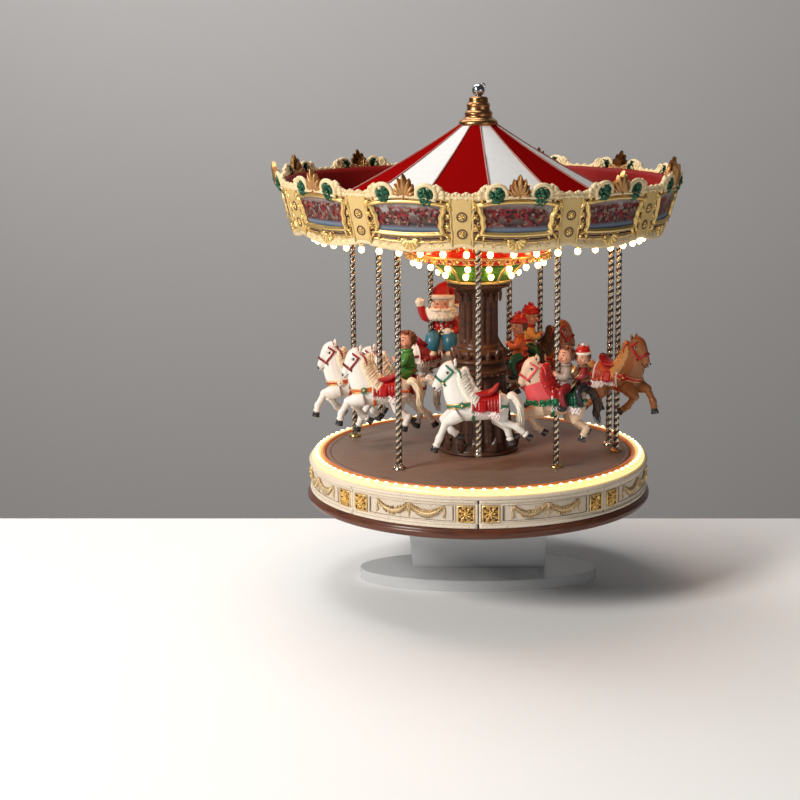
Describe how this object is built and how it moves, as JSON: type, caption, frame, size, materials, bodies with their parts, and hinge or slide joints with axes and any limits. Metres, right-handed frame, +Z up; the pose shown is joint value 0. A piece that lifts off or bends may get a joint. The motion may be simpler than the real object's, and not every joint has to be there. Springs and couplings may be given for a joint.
{
  "type": "carousel music box",
  "caption": "Lighted musical carousel on a clear stand: a striped roof, gilt canopy and column turn on a wind-up movement while horses rise and fall on twisted poles.",
  "frame": {"origin": "centre of the stand foot's underside, on the carousel's axis", "axes": "+Z up along the carousel's axis; -Y is the front, which the stand's plate faces; +X to the right seen from the front"},
  "size_m": [0.2812, 0.2812, 0.3598],
  "materials": {
    "clear_acrylic": "polished clear acrylic",
    "dark_wood": "dark stained and varnished",
    "cream_paint": "antiqued cream paint on cast resin",
    "gilt": "gold paint on cast resin",
    "led_board": "white lacquered board",
    "led_glow": "translucent silicone lit from inside",
    "brown_board": "brown satin lacquer",
    "column_brown": "dark brown varnish",
    "black_plastic": "moulded",
    "steel": "bright",
    "brass": "turned",
    "zinc": "zinc plated",
    "cell_sleeve": "printed sleeve",
    "red_paint": "glossy red paint",
    "green_paint": "glossy green and gold paint",
    "bulb": "lit warm white",
    "roof_stripes": "red and white gores",
    "copper": "copper gold",
    "silver": "polished",
    "twist_brass": "twisted, bright",
    "white_horse": "painted resin",
    "beige_horse": "painted resin",
    "brown_horse": "painted resin"
  },
  "bodies": {
    "base": {"stand_foot": "clear_acrylic", "stand_upright": "clear_acrylic", "upright_bracket": "steel", "base_screws": "zinc", "plinth": "dark_wood", "base_shell": "brown_board", "base_panels": "cream_paint", "base_ornaments": "gilt", "top_moulding": "cream_paint", "led_strip": "led_board", "led_diffuser": "led_glow", "bottom_plate": "black_plastic", "central_post": "steel", "canopy_cam": "black_plastic", "slip_ring": "brass", "battery_box": "black_plastic", "battery_cells": "cell_sleeve", "movement_bedplate": "brass", "comb": "steel"},
    "turntable": {"floor_disc": "brown_board", "turntable_hub": "brass", "contact_brushes": "brass", "column_drum": "column_brown", "column_shaft": "column_brown", "lower_tier": "green_paint", "upper_tier": "red_paint", "canopy_bulbs": "bulb", "canopy_ceiling": "red_paint", "cornice_panels": "cream_paint", "cornice_gilding": "gilt", "roof": "roof_stripes", "finial": "copper", "finial_ball": "silver", "support_poles": "twist_brass", "pole_bushes": "brass"},
    "winder": {"wind_key": "brass"},
    "barrel": {"spring_barrel": "brass", "mainspring": "steel"},
    "cylinder": {"music_cylinder": "brass"},
    "governor": {"governor_fan": "steel"},
    "battery_cover": {"battery_door": "black_plastic"},
    "switch": {"switch_slider": "black_plastic"},
    "ride_1": {"horse_1": "white_horse", "pole_1": "twist_brass"},
    "ride_2": {"horse_2": "white_horse", "pole_2": "twist_brass"},
    "ride_3": {"horse_3": "white_horse", "pole_3": "twist_brass"},
    "ride_4": {"horse_4": "white_horse", "pole_4": "twist_brass"},
    "ride_5": {"horse_5": "beige_horse", "pole_5": "twist_brass"},
    "ride_6": {"horse_6": "brown_horse", "pole_6": "twist_brass"},
    "ride_7": {"horse_7": "brown_horse", "pole_7": "twist_brass"},
    "ride_8": {"horse_8": "white_horse", "pole_8": "twist_brass"},
    "ride_9": {"horse_9": "white_horse", "pole_9": "twist_brass"}
  },
  "joints": [
    {"name": "turntable_spin", "type": "hinge", "parent": "base", "child": "turntable", "pos_m": [0, 0, 0.065], "axis": [0, 0, 1], "continuous": true},
    {"name": "barrel_turn", "type": "hinge", "parent": "base", "child": "barrel", "pos_m": [0, 0.0288, 0.075], "axis": [0, 0, 1], "continuous": true},
    {"name": "cylinder_turn", "type": "hinge", "parent": "base", "child": "cylinder", "pos_m": [0.02364, 0.03297, 0.075], "axis": [0, 0, 1], "continuous": true},
    {"name": "governor_spin", "type": "hinge", "parent": "base", "child": "governor", "pos_m": [0.03239, 0.04812, 0.075], "axis": [0, 0, 1], "continuous": true},
    {"name": "key_wind", "type": "hinge", "parent": "base", "child": "winder", "pos_m": [0, 0.0288, 0.065], "axis": [0, 0, 1], "continuous": true},
    {"name": "battery_door_swing", "type": "hinge", "parent": "base", "child": "battery_cover", "pos_m": [0, -0.0464, 0.0665], "axis": [1, 0, 0], "range_deg": [0, 95]},
    {"name": "switch_slide", "type": "slide", "parent": "base", "child": "switch", "axis": [1, 0, 0], "range_m": [0, 0.004]},
    {"name": "ride_1_lift", "type": "slide", "parent": "turntable", "child": "ride_1", "axis": [0, 0, 1], "range_m": [-0.0035, 0.0035]},
    {"name": "ride_2_lift", "type": "slide", "parent": "turntable", "child": "ride_2", "axis": [0, 0, 1], "range_m": [-0.0035, 0.0035]},
    {"name": "ride_3_lift", "type": "slide", "parent": "turntable", "child": "ride_3", "axis": [0, 0, 1], "range_m": [-0.0035, 0.0035]},
    {"name": "ride_4_lift", "type": "slide", "parent": "turntable", "child": "ride_4", "axis": [0, 0, 1], "range_m": [-0.0035, 0.0035]},
    {"name": "ride_5_lift", "type": "slide", "parent": "turntable", "child": "ride_5", "axis": [0, 0, 1], "range_m": [-0.0035, 0.0035]},
    {"name": "ride_6_lift", "type": "slide", "parent": "turntable", "child": "ride_6", "axis": [0, 0, 1], "range_m": [-0.0035, 0.0035]},
    {"name": "ride_7_lift", "type": "slide", "parent": "turntable", "child": "ride_7", "axis": [0, 0, 1], "range_m": [-0.0035, 0.0035]},
    {"name": "ride_8_lift", "type": "slide", "parent": "turntable", "child": "ride_8", "axis": [0, 0, 1], "range_m": [-0.0035, 0.0035]},
    {"name": "ride_9_lift", "type": "slide", "parent": "turntable", "child": "ride_9", "axis": [0, 0, 1], "range_m": [-0.0035, 0.0035]}
  ],
  "couplings": [
    {"joint": "barrel_turn", "follows": "turntable_spin", "ratio": -0.5},
    {"joint": "cylinder_turn", "follows": "turntable_spin", "ratio": 2},
    {"joint": "governor_spin", "follows": "turntable_spin", "ratio": -12},
    {"joint": "ride_2_lift", "follows": "ride_1_lift", "ratio": -1},
    {"joint": "ride_3_lift", "follows": "ride_1_lift", "ratio": 1},
    {"joint": "ride_4_lift", "follows": "ride_1_lift", "ratio": -1},
    {"joint": "ride_5_lift", "follows": "ride_1_lift", "ratio": 1},
    {"joint": "ride_6_lift", "follows": "ride_1_lift", "ratio": -1},
    {"joint": "ride_7_lift", "follows": "ride_1_lift", "ratio": 1},
    {"joint": "ride_8_lift", "follows": "ride_1_lift", "ratio": -1},
    {"joint": "ride_9_lift", "follows": "ride_1_lift", "ratio": 1}
  ]
}
